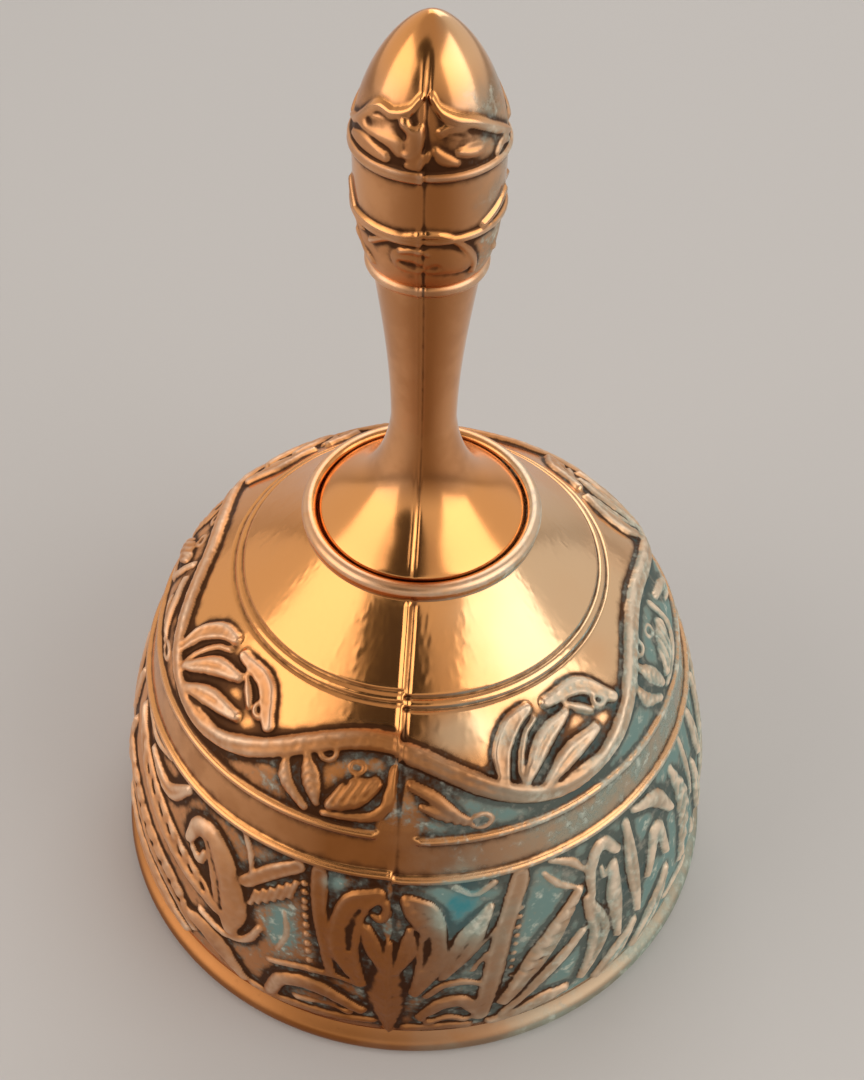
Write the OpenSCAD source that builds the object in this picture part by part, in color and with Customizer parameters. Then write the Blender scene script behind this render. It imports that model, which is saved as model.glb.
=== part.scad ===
// Cast brass hand bell: an embossed bell body, a baluster handle seated in the
// ring on its crown, and a clapper hung inside from an eye bolt.
// Millimetres. Z is the bell's axis, z = 0 is the plane of the mouth, and the
// parting seam of the castings lies on the -Y side.

/* [Bell body] */
// Diameter of the mouth, over the roll bead
mouth_d = 85; // [75:0.5:95]
// Diameter of the roll bead round the mouth
rim_bead_d = 3.2; // [2.6:0.1:4]
// Depth of the groove above the roll bead
rim_groove = 0.6; // [0.3:0.1:1]
// How far the roll bead stands out from the skirt
rim_step = 1.3; // [1:0.1:1.8]
// Diameter where the skirt turns into the shoulder
shoulder_d = 65; // [60:0.5:68]
// Height where the skirt turns into the shoulder
shoulder_z = 43; // [40:0.5:46]
// Fullness of the skirt: 1 is a cone, more bulges out
skirt_bulge = 1.9; // [1.6:0.05:2.4]
// Wall thickness of the casting
wall = 2.4; // [1.8:0.1:3]
// Thickness of the sound bow, the thick ring just inside the mouth
bow_wall = 3.6; // [3.1:0.1:4.5]
// Height up to which the sound bow runs
bow_h = 7; // [5:0.5:9]

/* [Bands on the body] */
// Height of the lower edge bead of the plain band
band_low_z = 33.8; // [32:0.1:35]
// Width of the plain band between its two edge beads
band_w = 5.5; // [4:0.1:7]
// Radius of the band's edge beads
band_bead_r = 0.6; // [0.4:0.05:0.8]
// Place of the engraved lines, from 0 at the shoulder to 1 at the crown
engraved_at = 0.55; // [0.4:0.01:0.7]
// Depth of the engraved lines
engraved_depth = 0.3; // [0.15:0.05:0.5]

/* [Embossing] */
// Height of the broadest forms of the embossing over the wall
emboss_h = 1.1; // [0.6:0.05:1.3]
// Depth to which the forms' edges are sunk in the wall
emboss_sink = 0.45; // [0.3:0.05:0.8]
// Half width of the vine that runs round the shoulder
vine_half = 1.4; // [0.8:0.1:1.6]
// Height of the vine's middle over the plain band
vine_mid = 7.3; // [6.5:0.1:8]
// How far the vine rises and falls from its middle
vine_rise = 4.3; // [2:0.1:4.6]

/* [Crown] */
// Height of the crown's flat top, where the handle is seated
crown_z = 60.5; // [58:0.5:64]
// Thickness of the crown at its middle
crown_wall = 3.5; // [3:0.1:4.5]
// Diameter over the crown ring that the handle's foot sits in
crown_ring_d = 29.4; // [28:0.1:32]
// Radius of the crown ring's bead
crown_bead_r = 0.95; // [0.8:0.05:1.2]

/* [Handle] */
// Thickness of the edge of the handle's foot
foot_edge = 0.9; // [0.6:0.1:1.3]
// Height of the flare, from the crown's flat top to the thin of the stem
flare_h = 15.5; // [14:0.5:18]
// Diameter of the stem where it is thinnest
stem_d = 7.6; // [7:0.1:8.5]
// Diameter of the stem under the collar
stem_top_d = 11.6; // [10:0.1:12.4]
// Length of the stem, from its thinnest place to the collar
stem_l = 22.2; // [20:0.2:28]
// Radius of the collar bead
collar_bead_r = 0.8; // [0.6:0.05:1]
// Largest diameter of the bulb
bulb_d = 15.4; // [14:0.1:17]
// Height of the bulb's side, from the collar up to the dome
bulb_side_h = 13.3; // [12:0.1:16]
// Height of the dome on the bulb
dome_h = 14; // [10:0.1:16]
// Radius of the two ridges round the bulb
bulb_ridge_r = 0.45; // [0.3:0.05:0.6]
// Height of the lower ridge over the collar
low_ridge_h = 7.3; // [5:0.1:8.5]
// Distance between the two ridges
ridge_gap = 7.2; // [6:0.1:8.5]

/* [Eye bolt, washer and nut] */
// Diameter of the eye bolt's threaded shank
shank_d = 4; // [3:0.1:4.4]
// Depth to which the shank screws into the handle
shank_grip = 12; // [8:0.5:14]
// Diameter of the wire that the eye is bent from
eye_wire_d = 2.5; // [2:0.1:2.8]
// Inner diameter of the eye
eye_hole_d = 4; // [3.6:0.1:5]
// Outer diameter of the washer under the crown
washer_d = 12; // [9:0.5:16]
// Thickness of the washer
washer_t = 1; // [0.8:0.1:1.5]
// Width of the nut across its flats
nut_af = 7; // [6:0.1:8]
// Thickness of the nut
nut_t = 3.2; // [2.4:0.1:4]
// Free length of the shank between the nut and the eye
neck_l = 0.5; // [0.3:0.1:2]

/* [Clapper] */
// Diameter of the link's wire
link_wire_d = 2; // [1.6:0.1:2.2]
// Length of the link's straight sides
link_side = 4; // [3:0.1:6]
// Diameter of the clapper rod
rod_d = 2.4; // [2:0.1:2.6]
// Distance from the link to the middle of the ball
rod_l = 25.5; // [22:0.5:28]
// Diameter of the clapper ball
ball_d = 16; // [12:0.5:17]
// Diameter of the flats turned on the ball, over and under its bore
ball_flat_d = 4.4; // [3.6:0.1:5]
// Thickness of the shoulder on the rod over the ball
rod_shoulder_t = 0.8; // [0.6:0.1:1.2]
// Height of the riveted head under the ball
rivet_h = 0.9; // [0.6:0.1:1.2]

/* [Fits] */
// Radial clearance of the threads, which are drawn plain
thread_gap = 0.05; // [0.02:0.01:0.08]
// Radial clearance of the shank in the crown and the washer
shank_gap = 0.2; // [0.1:0.05:0.4]
// Radial clearance of the ball on its rod
ball_gap = 0.05; // [0.02:0.01:0.1]
// Gap round the eye's wire and the link's wire, where they hang on each other
hang_gap = 0.3; // [0.2:0.05:0.4]
// Gap between the handle's foot and the crown ring
foot_gap = 0.2; // [0.1:0.05:0.4]

/* [Hidden] */
$fn = 96;

BRASS = [0.86, 0.60, 0.32];
PALE_BRASS = [0.88, 0.68, 0.45];
STEEL = [0.62, 0.60, 0.57];

mouth_r = mouth_d / 2;
rim_bead_r = rim_bead_d / 2;
rim_top_z = 1.4 * rim_bead_d;
skirt_foot_r = mouth_r - rim_step;
shoulder_r = shoulder_d / 2;
skirt_h = shoulder_z - rim_top_z;
band_top_z = band_low_z + band_w;

crown_ring_r = crown_ring_d / 2;
crown_bead_mid_r = crown_ring_r - crown_bead_r;
crown_bead_z = crown_z + 0.4 * crown_bead_r;
crown_under_z = crown_z - crown_wall;
shoulder_top_z = crown_z - 0.7 * crown_bead_r;
shoulder_top_r = crown_ring_r - 0.3 * crown_bead_r;

foot_r = crown_bead_mid_r - crown_bead_r - foot_gap;
stem_r = stem_d / 2;
stem_low_z = crown_z + flare_h;
collar_z = stem_low_z + stem_l;
bulb_r = bulb_d / 2;
dome_z = collar_z + bulb_side_h;
top_z = dome_z + dome_h;
low_ridge_z = collar_z + low_ridge_h;
high_ridge_z = low_ridge_z + ridge_gap;

shank_r = shank_d / 2;
thread_r = shank_r + thread_gap;
clear_r = shank_r + shank_gap;
shank_end_gap = 1.5;
nut_under_z = crown_under_z - washer_t - nut_t;
eye_wire_r = eye_wire_d / 2;
eye_r = eye_hole_d / 2 + eye_wire_r;
eye_z = nut_under_z - neck_l - eye_wire_r - eye_r;
eye_pivot_z = eye_z - eye_r;

link_wire_r = link_wire_d / 2;
rod_r = rod_d / 2;
link_r = eye_wire_r + hang_gap + link_wire_r;
link_low_z = eye_pivot_z - link_side;
rod_pivot_z = link_low_z - link_r;
rod_eye_r = link_wire_r + hang_gap + rod_r;
ball_z = rod_pivot_z - rod_l;
ball_r = ball_d / 2;
ball_flat_r = ball_flat_d / 2;
ball_flat_h = sqrt(ball_r * ball_r - ball_flat_r * ball_flat_r);

// Times that the skirt's and the shoulder's patterns repeat round the bell
SKIRT_REPEATS = 2;
SHOULDER_REPEATS = 4;
// Where the vine has a crest, in degrees from the seam, and its steps round
VINE_CREST = -6;
VINE_STEP = 7.5;

// A form's height as a share of the embossing's: a base, and more for each mm
// of its half width, up to the whole
FORM_BASE = 0.35;
FORM_GAIN = 0.4;

// Forms of the skirt's pattern, each a run of points chosen by hand: degrees
// from the seam, mm up a frieze drawn 30 mm high, and half width in mm
SKIRT_FRIEZE_H = 30;
SKIRT_FORMS = [
    // Pair of scrolls like a heart, over a lozenge leaf
    [[-5.2, 10.4, 0.8], [-8, 15.6, 2], [-8.4, 20.5, 2.3], [-6.8, 24.8, 2.1], [-2.6, 26.8, 1.1]],
    [[4.6, 9.8, 0.8], [7, 15, 1.9], [7.7, 20, 2], [6.8, 24.8, 1.7], [3, 26.8, 1]],
    [[0, 0.9, 1], [-0.6, 6, 2.8], [-0.5, 11, 3], [0, 19.4, 0.7]],
    // Straps, pointed leaf and arches beside them
    [[-14.2, 28.6, 1.2], [-13.4, 22.5, 1.2], [-10.8, 11.6, 0.8]],
    [[-18.4, 28.4, 1.1], [-23.4, 25.8, 1.2], [-29, 21.8, 1.1]],
    [[9.8, 13.2, 0.7], [13.4, 18.6, 2.2], [18.4, 24.6, 0.7]],
    [[24.6, 28.6, 1.3], [20, 18, 1.4], [16.6, 3.6, 1.4]],
    [[-22.6, 2.4, 1.2], [-20, 6.4, 1.3], [-13.4, 7.8, 1.3], [-5, 4.4, 0.7]],
    [[5.8, 4, 0.9], [9.4, 7.3, 1.2], [13.6, 7.3, 1.2], [16, 3.4, 0.8]],
    // Wing of leaves on the right
    [[20.8, 5.8, 1.1], [28.6, 14.4, 2.2], [36.6, 22.2, 0.7]],
    [[20.6, 2.6, 0.7], [29, 8.8, 1.4], [37, 14, 0.7]],
    [[18.4, 1.4, 0.8], [28, 2.8, 1.7], [33.4, 3, 0.8]],
    [[37.8, 20, 0.7], [40.8, 11.6, 2.2], [37, 3.6, 0.8]],
    // Great scroll on the left, its tail and the lobes under it
    [[-31.6, 11.4, 1.6], [-32.2, 16, 3.2], [-34.8, 21.6, 2.9], [-38.2, 25, 2.2], [-42, 24.8, 1.6],
     [-43.8, 21.8, 1]],
    [[-35, 13.6, 1.6], [-50, 17.6, 2.6], [-64, 22.6, 2.2], [-72, 27, 0.8]],
    [[-76, 16, 0.8], [-62, 12, 2.6], [-48, 8.2, 2.6], [-41.5, 4, 0.9]],
    [[-42, 6.8, 1.2], [-36, 6, 2.6], [-28.6, 1.8, 0.9]],
    [[-44, 1.6, 0.9], [-56, 4, 2.4], [-74, 7, 0.8]],
    [[-47, 28.4, 0.8], [-53, 24.6, 1.5], [-62, 26, 0.7]],
    // Small scroll on the right and the leaves behind it
    [[39.2, 18.4, 0.7], [39.6, 24.4, 1.2], [42.8, 27.2, 1.2], [46.4, 24.4, 0.9]],
    [[45, 22.6, 0.9], [44.4, 15.6, 1.8], [45.4, 8, 0.7]],
    [[49.6, 27.4, 0.7], [49.8, 19, 1.5], [51, 9.6, 0.7]],
    [[40.6, 1.4, 0.9], [45, 3.8, 2], [49.8, 7.6, 0.8]],
    [[50.4, 1.6, 1], [56, 5.4, 2.3], [60.4, 11, 0.8]],
    [[54, 14.6, 0.7], [57.8, 21, 1.6], [60.8, 14.6, 0.8]],
    [[52.4, 28.2, 0.7], [59, 26.2, 1.5], [64, 21, 0.8]],
    [[66.4, 26.6, 0.7], [69.6, 17, 2.2], [67.6, 6.6, 0.8]],
    // Standing palm between the front's pattern and the back's
    [[90, 1.4, 1.6], [90, 13.6, 2.8], [90, 28, 0.7]],
    [[83.6, 3.6, 0.8], [79.4, 11, 1.9], [76.8, 20, 0.7]],
    [[96.4, 3.6, 0.8], [100.6, 11, 1.9], [103.2, 20, 0.7]],
    [[84.6, 15.6, 0.7], [81.8, 21.6, 1.5], [80, 28, 0.7]],
    [[95.4, 15.6, 0.7], [98.2, 21.6, 1.5], [100, 28, 0.7]]];

// Forms of the shoulder's pattern, in a frieze drawn 16 mm high between the
// plain band and the engraved lines
SHOULDER_FRIEZE_H = 16;
SHOULDER_FORMS = [
    // Under the vine's crest: a scroll round a leaf, and slips beside it
    [[-14, 3.2, 0.9], [-9.5, 4.9, 2], [-4.8, 6.6, 1]],
    [[-0.9, 8.6, 0.6], [-3.4, 3, 0.9], [-15, 1.6, 0.6]],
    [[-21.4, 8.2, 0.7], [-19, 5.4, 1.4], [-16.8, 2.8, 0.7]],
    [[-26, 7.2, 0.7], [-24.4, 4.2, 1.1], [-19.4, 1.6, 0.7]],
    [[3, 7.4, 0.7], [8, 5.8, 1], [14, 2.8, 0.7]],
    // Over the vine's dip: fronds inside a loop
    [[23.4, 6.8, 0.8], [24.4, 10, 1.2], [28.6, 12.7, 1.2], [34, 13.8, 0.7]],
    [[28.4, 6, 0.7], [35, 9.6, 1.4], [43, 11.2, 0.7]],
    [[32, 4.6, 0.6], [39.6, 6.6, 1.4], [48.4, 7.4, 0.7]],
    [[39.6, 13.4, 0.7], [50.4, 12.8, 1.2], [57, 8.8, 0.8]]];

// Point at share t of the smooth curve that four control points steer
function bezier(p, t) =
    pow(1 - t, 3) * p[0] + 3 * t * pow(1 - t, 2) * p[1]
    + 3 * t * t * (1 - t) * p[2] + pow(t, 3) * p[3];

// The curve's unit direction at share t
function bezier_way(p, t) =
    let (d = pow(1 - t, 2) * (p[1] - p[0]) + 2 * t * (1 - t) * (p[2] - p[1])
             + t * t * (p[3] - p[2]))
    d / norm(d);

// Points of a curve cut into n steps
function curve(p, n) = [for (i = [0 : n]) bezier(p, i / n)];

// Points of an arc round a middle, from one angle to another
function arc(middle, r, from, to, n) =
    [for (i = [0 : n]) let (a = from + (to - from) * i / n)
        middle + r * [cos(a), sin(a)]];

// Outer radius of the skirt at a height, and its lean there in degrees
function skirt_r(z) =
    skirt_foot_r - (skirt_foot_r - shoulder_r)
    * pow(max(0, z - rim_top_z) / skirt_h, skirt_bulge);
function skirt_lean(z) = atan2(skirt_r(z - 0.1) - skirt_r(z + 0.1), 0.2);

// Stretch of the skirt between two heights, shifted inwards by a wall
function skirt(low, high, n, inwards = 0) =
    [for (i = [0 : n]) let (z = low + (high - low) * i / n, a = skirt_lean(z))
        [skirt_r(z) - inwards * cos(a), z - inwards * sin(a)]];

// Half-round bead lying on the skirt
function skirt_bead(z, r) =
    let (a = skirt_lean(z))
    arc([skirt_r(z), z], r, a - 90, a + 90, 8);

shoulder_lean = skirt_lean(shoulder_z - 0.1);
shoulder_curve = [
    [shoulder_r, shoulder_z],
    [shoulder_r, shoulder_z] + 4.4 * [-sin(shoulder_lean), cos(shoulder_lean)],
    [shoulder_top_r, shoulder_top_z] + [5.3, -6.8],
    [shoulder_top_r, shoulder_top_z]];

// Place on the shoulder at share t, sunk or shifted inwards along its normal
function shoulder(t, inwards = 0) =
    let (way = bezier_way(shoulder_curve, t))
    bezier(shoulder_curve, t) + inwards * [-way[1], way[0]];

// The two engraved lines, each a narrow V in the shoulder's outline
engraved_half = 0.012;
engraved_step = 0.045;
function engraved(t) = [
    shoulder(t - engraved_half),
    shoulder(t, engraved_depth),
    shoulder(t + engraved_half)];

module bell_outside() {
    steps = 12;
    polygon(concat(
        [[0, 0]],
        arc([mouth_r - rim_bead_r, rim_bead_r], rim_bead_r, -90, 60, 14),
        [[skirt_foot_r - rim_groove, rim_top_z - 0.3]],
        skirt(rim_top_z, band_low_z - band_bead_r, 10),
        skirt_bead(band_low_z, band_bead_r),
        skirt(band_low_z + band_bead_r, band_top_z - band_bead_r, 2),
        skirt_bead(band_top_z, band_bead_r),
        skirt(band_top_z + band_bead_r, shoulder_z, 2),
        [for (i = [1 : steps / 2]) shoulder(i / steps)],
        engraved(engraved_at),
        engraved(engraved_at + engraved_step),
        [for (i = [steps / 2 + 2 : steps]) shoulder(i / steps)],
        arc([crown_bead_mid_r, crown_bead_z], crown_bead_r, -20, 200, 14),
        [[crown_bead_mid_r - crown_bead_r, crown_z], [0, crown_z]]));
}

// The inside follows the outside at the wall's thickness, with the thick sound
// bow at the mouth and a flat pad under the crown for the washer
module bell_inside() {
    inner_mouth_r = skirt_foot_r - bow_wall;
    polygon(concat(
        [[0, -1], [inner_mouth_r + 1, -1], [inner_mouth_r, 0.8], [inner_mouth_r, bow_h]],
        skirt(bow_h + 6, shoulder_z, 8, wall),
        [for (i = [1 : 12]) let (p = shoulder(i / 12, wall))
            [p[0], min(p[1], crown_under_z)]],
        [[0, crown_under_z]]));
}

// The wall that carries the embossing, from the rim to the crown ring, with the
// distance up the wall of each of its points
wall_run = concat(skirt(rim_top_z, shoulder_z, 16), [for (i = [1 : 16]) shoulder(i / 16)]);
wall_ups = [for (i = 0, up = 0; i < len(wall_run);
                 i = i + 1, up = up + (i < len(wall_run) ? norm(wall_run[i] - wall_run[i - 1]) : 0)) up];
wall_rs = [for (i = [0 : len(wall_run) - 1]) [wall_ups[i], wall_run[i][0]]];
wall_zs = [for (i = [0 : len(wall_run) - 1]) [wall_ups[i], wall_run[i][1]]];
ups_at_zs = [for (i = [0 : len(wall_run) - 1]) [wall_run[i][1], wall_ups[i]]];
band_low_up = lookup(band_low_z, ups_at_zs);
band_top_up = lookup(band_top_z, ups_at_zs);
engraved_up = lookup(shoulder(engraved_at)[1], ups_at_zs);

// Point over the wall: degrees from the seam, distance up the wall, and lift.
// The wall's lean is taken between a step down and a step up.
function over_wall(turn, up, lift) =
    let (step = 0.5,
         fall = lookup(up - step, wall_rs) - lookup(up + step, wall_rs),
         rise = lookup(up + step, wall_zs) - lookup(up - step, wall_zs),
         out = [rise, fall] / norm([rise, fall]),
         r = lookup(up, wall_rs) + lift * out[0])
    [r * sin(turn), -r * cos(turn), lookup(up, wall_zs) + lift * out[1]];

// Smooth run through points chosen by hand, with n steps between each two
function smooth_run(points, n) =
    let (e = len(points) - 1,
         p = concat([2 * points[0] - points[1]], points, [2 * points[e] - points[e - 1]]))
    [for (i = [0 : e - 1], k = [0 : i < e - 1 ? n - 1 : n])
        let (t = k / n, a = p[i], b = p[i + 1], c = p[i + 2], d = p[i + 3])
        0.5 * (2 * b + t * (c - a) + t * t * (2 * a - 5 * b + 4 * c - d)
               + t * t * t * (3 * b - 3 * c + d - a))];

// Across a form, from edge to edge: shares of its half width and of its height,
// the edges wider for the slope that is sunk in the wall
FORM_ACROSS = [[-1.12, 0], [-0.7, 0.72], [0, 1], [0.7, 0.72], [1.12, 0]];

// A swelling form laid along a run on the wall, as high as it is broad up to
// the full height; a ring closes on itself
module form(run, ring = false) {
    across = len(FORM_ACROSS);
    last = len(run) - 1;
    stations = last + 1;
    corners = [for (i = [0 : last])
        let (before = run[ring ? (i + last) % stations : max(0, i - 1)],
             after = run[ring ? (i + 1) % stations : min(last, i + 1)],
             turn = run[i][0], up = run[i][1], half = run[i][2],
             h = emboss_h * min(1, FORM_BASE + FORM_GAIN * half),
             per_degree = lookup(up, wall_rs) * PI / 180,
             way = [((after[0] - before[0] + 540) % 360 - 180) * per_degree, after[1] - before[1]])
        for (p = FORM_ACROSS)
            let (side = p[0] * half / norm(way))
            over_wall(turn - side * way[1] / per_degree, up + side * way[0],
                      p[1] > 0 ? p[1] * h : -emboss_sink)];
    walls = [for (i = [0 : ring ? last : last - 1], j = [0 : across - 1])
        let (a = across * i, b = across * ((i + 1) % stations), k = (j + 1) % across)
        each [[a + j, a + k, b + k], [a + j, b + k, b + j]]];
    ends = ring ? [] : [for (j = [1 : across - 2])
        each [[0, j + 1, j], [across * last, across * last + j, across * last + j + 1]]];
    polyhedron(corners, concat(walls, ends));
}

// A pattern's run carried from its drawn frieze to the wall
function on_wall(points, low_up, drawn_h, high_up) =
    [for (p = smooth_run(points, 2)) [p[0], low_up + p[1] * (high_up - low_up) / drawn_h, p[2]]];

// The cast relief's main forms, all sunk in the wall that carries them
module embossing() {
    for (k = [0 : SKIRT_REPEATS - 1], points = SKIRT_FORMS)
        rotate([0, 0, k * 360 / SKIRT_REPEATS])
            form(on_wall(points, 0, SKIRT_FRIEZE_H, band_low_up));
    for (k = [0 : SHOULDER_REPEATS - 1], points = SHOULDER_FORMS)
        rotate([0, 0, k * 360 / SHOULDER_REPEATS])
            form(on_wall(points, band_top_up, SHOULDER_FRIEZE_H, engraved_up));
    form([for (turn = [0 : VINE_STEP : 360 - VINE_STEP])
        [turn, band_top_up + vine_mid + vine_rise * cos(SHOULDER_REPEATS * (turn - VINE_CREST)), vine_half]],
        ring = true);
}

// One brass casting with its beads, bands and embossing, drilled through the crown
module bell_body() {
    color(BRASS)
    difference() {
        union() {
            rotate_extrude($fn = 180) bell_outside();
            embossing();
        }
        rotate_extrude($fn = 180) bell_inside();
        translate([0, 0, crown_under_z - 1])
            cylinder(r = clear_r, h = crown_wall + 2);
    }
}

// Bulb side, from the collar up to the dome, and its width at a height
bulb_foot_r = stem_top_d / 2 + 0.4;
bulb_curve = [
    [bulb_foot_r, collar_z + 0.6 * collar_bead_r],
    [bulb_r - 0.5, collar_z + 2.3],
    [bulb_r, collar_z + 5],
    [bulb_r, dome_z]];
function bulb_share(z, low = 0, high = 1, n = 24) =
    let (mid = (low + high) / 2)
    n == 0 ? mid
    : bezier(bulb_curve, mid)[1] < z ? bulb_share(z, mid, high, n - 1)
    : bulb_share(z, low, mid, n - 1);
function bulb_point(z) = bezier(bulb_curve, bulb_share(z));

// Stretch of the bulb's side between two heights
function bulb_side(low, high, n) =
    [for (i = [0 : n]) bulb_point(low + (high - low) * i / n)];

// Half-round ridge on the bulb
function bulb_ridge(z) = arc(bulb_point(z), bulb_ridge_r, -90, 90, 8);

module handle_outline() {
    flare_low_z = crown_z + foot_edge;
    flare_curve = [
        [foot_r - 0.3, flare_low_z + 0.3],
        [foot_r - 3.1, flare_low_z + 2.9],
        [stem_r + 0.8, stem_low_z - 9],
        [stem_r, stem_low_z]];
    stem_curve = [
        [stem_r, stem_low_z],
        [stem_r, stem_low_z + 7.5],
        [stem_top_d / 2 - 1, collar_z - 7.7],
        [stem_top_d / 2, collar_z - 0.8 * collar_bead_r]];
    dome_curve = [
        [bulb_r, dome_z],
        [bulb_r, dome_z + 8.6],
        [2.1, top_z],
        [0, top_z]];
    polygon(concat(
        [[0, crown_z], [foot_r - 0.2, crown_z], [foot_r, crown_z + 0.2],
         [foot_r, flare_low_z]],
        curve(flare_curve, 12),
        curve(stem_curve, 12),
        arc([stem_top_d / 2, collar_z], collar_bead_r, -60, 60, 8),
        bulb_side(collar_z + 0.6 * collar_bead_r, low_ridge_z - bulb_ridge_r, 8),
        bulb_ridge(low_ridge_z),
        bulb_side(low_ridge_z + bulb_ridge_r, min(high_ridge_z, dome_z) - bulb_ridge_r, 4),
        arc([bulb_r, high_ridge_z], bulb_ridge_r, -90, 90, 8),
        [for (i = [0 : 16]) let (p = bezier(dome_curve, i / 16))
            if (p[1] > high_ridge_z + bulb_ridge_r) p]));
}

// One brass casting, tapped up its foot for the eye bolt
module handle() {
    color(BRASS)
    difference() {
        rotate_extrude($fn = 120) handle_outline();
        translate([0, 0, crown_z - 1])
            cylinder(r = thread_r, h = 1 + shank_grip + shank_end_gap);
    }
}

// Ring of round wire about the Z axis
module wire_ring(ring_r, wire_r) {
    rotate_extrude($fn = 64) translate([ring_r, 0]) circle(r = wire_r, $fn = 32);
}

// Shank up through the nut, washer and crown into the handle, with the eye below
module eye_bolt() {
    color(STEEL) {
        translate([0, 0, eye_z]) rotate([0, 90, 0]) wire_ring(eye_r, eye_wire_r);
        translate([0, 0, eye_z + eye_r])
            cylinder(r = shank_r, h = crown_z + shank_grip - eye_z - eye_r);
    }
}

module crown_washer() {
    color(PALE_BRASS)
    translate([0, 0, crown_under_z - washer_t])
    difference() {
        cylinder(d = washer_d, h = washer_t);
        translate([0, 0, -1]) cylinder(r = clear_r, h = washer_t + 2);
    }
}

// Hexagon nut with its corners chamfered on both faces
module crown_nut() {
    corner_r = nut_af / 2 / cos(30);
    chamfer = (corner_r - nut_af / 2) * 0.9;
    color(PALE_BRASS)
    translate([0, 0, nut_under_z])
    difference() {
        intersection() {
            cylinder(r = corner_r, h = nut_t, $fn = 6);
            rotate_extrude() polygon([
                [0, 0], [corner_r - chamfer, 0], [corner_r, chamfer * 0.6],
                [corner_r, nut_t - chamfer * 0.6], [corner_r - chamfer, nut_t], [0, nut_t]]);
        }
        translate([0, 0, -1]) cylinder(r = thread_r, h = nut_t + 2);
    }
}

// Half ring of round wire, open towards -Z
module half_link() {
    rotate([90, 0, 0])
    rotate_extrude(angle = 180, $fn = 64)
        translate([link_r, 0]) circle(r = link_wire_r, $fn = 32);
}

// Closed chain link through the eye, lying in the XZ plane
module clapper_link() {
    color(STEEL) {
        translate([0, 0, eye_pivot_z]) half_link();
        translate([0, 0, link_low_z]) mirror([0, 0, 1]) half_link();
        for (side = [-1, 1])
            translate([side * link_r, 0, link_low_z])
                cylinder(r = link_wire_r, h = link_side, $fn = 32);
    }
}

// Forged rod with its eye round the link, a shoulder over the ball and a
// riveted head under it
module clapper_rod() {
    flat_top_z = ball_z + ball_flat_h;
    flat_low_z = ball_z - ball_flat_h;
    eye_low_z = rod_pivot_z - rod_eye_r;
    color(STEEL) {
        translate([0, 0, rod_pivot_z]) rotate([0, 90, 0]) wire_ring(rod_eye_r, rod_r);
        rotate_extrude() polygon(concat(
            [[0, eye_low_z], [0, flat_low_z - rivet_h]],
            [for (i = [1 : 6]) [
                (ball_flat_r - 0.1) * sin(15 * i),
                flat_low_z - rivet_h * cos(15 * i)]],
            [[rod_r, flat_low_z], [rod_r, flat_top_z], [ball_flat_r - 0.1, flat_top_z],
             [ball_flat_r - 0.1, flat_top_z + rod_shoulder_t * 0.6],
             [rod_r, flat_top_z + rod_shoulder_t], [rod_r, eye_low_z]]));
    }
}

// Turned brass ball, drilled for the rod and faced flat at both ends of the bore
module clapper_ball() {
    color(BRASS)
    translate([0, 0, ball_z])
    difference() {
        sphere(r = ball_r);
        cylinder(r = rod_r + ball_gap, h = ball_d + 2, center = true);
        for (side = [0, 1]) mirror([0, 0, side])
            translate([0, 0, ball_flat_h]) cylinder(r = ball_r, h = ball_r);
    }
}

bell_body();
handle();
eye_bolt();
crown_washer();
crown_nut();
clapper_link();
clapper_rod();
clapper_ball();
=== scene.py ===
import math
import random

import bmesh
import bpy
import numpy as np
from mathutils import Matrix, Vector


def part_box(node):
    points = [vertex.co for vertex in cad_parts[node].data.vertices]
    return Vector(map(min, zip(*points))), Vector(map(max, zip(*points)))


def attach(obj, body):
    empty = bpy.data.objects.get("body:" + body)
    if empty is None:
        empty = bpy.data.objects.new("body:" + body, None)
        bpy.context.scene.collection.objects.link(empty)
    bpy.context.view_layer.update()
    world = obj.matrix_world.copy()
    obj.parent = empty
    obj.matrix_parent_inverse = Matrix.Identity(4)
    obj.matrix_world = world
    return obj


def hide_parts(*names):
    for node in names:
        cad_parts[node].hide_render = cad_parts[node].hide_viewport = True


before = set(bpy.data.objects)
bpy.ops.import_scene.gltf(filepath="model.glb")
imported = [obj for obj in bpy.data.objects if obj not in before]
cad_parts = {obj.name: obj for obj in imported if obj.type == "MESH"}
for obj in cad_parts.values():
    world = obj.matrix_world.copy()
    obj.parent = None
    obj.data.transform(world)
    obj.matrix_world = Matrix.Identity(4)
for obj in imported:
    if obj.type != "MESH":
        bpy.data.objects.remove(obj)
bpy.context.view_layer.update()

# The bell: one brass casting, open below, embossed with scrolls and leaves on
# its skirt and shoulder. A roll bead stiffens the mouth, two fine beads edge a
# plain band, and a ring on the crown takes the handle's foot.
MM = 0.001
mouth_r = -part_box("bell_body")[0].x / MM
crown_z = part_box("handle")[0].z / MM
rim_bead_r = 1.6
rim_top_z = 4.48
skirt_foot_r = mouth_r - 1.3
shoulder_r = 32.5
shoulder_z = 43.0
skirt_bulge = 1.9
wall = 2.4
bow_wall = 3.6
bow_h = 7.0
band_low_z = 33.8
band_top_z = 39.3
band_bead_r = 0.6
crown_ring_r = 14.7
crown_bead_r = 0.95
crown_under_z = crown_z - 3.5
bolt_hole_r = 2.2
emboss_h = 1.1
vine_half = 1.4
vine_r = 31
vine_mid = 7.3
vine_rise = 4.3
vine_crest = -6
BELL_COLUMNS = 1080


def bezier(points, n):
    """Points along the smooth curve that four control points steer."""
    p = np.array(points, float)
    t = np.linspace(0, 1, n)[:, None]
    return ((1 - t) ** 3 * p[0] + 3 * t * (1 - t) ** 2 * p[1]
            + 3 * t * t * (1 - t) * p[2] + t ** 3 * p[3])


def arc(middle, r, start, end, n):
    """Points of an arc, from one angle in degrees to another."""
    a = np.radians(np.linspace(start, end, n))
    return np.array(middle) + r * np.stack([np.cos(a), np.sin(a)], 1)


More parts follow.
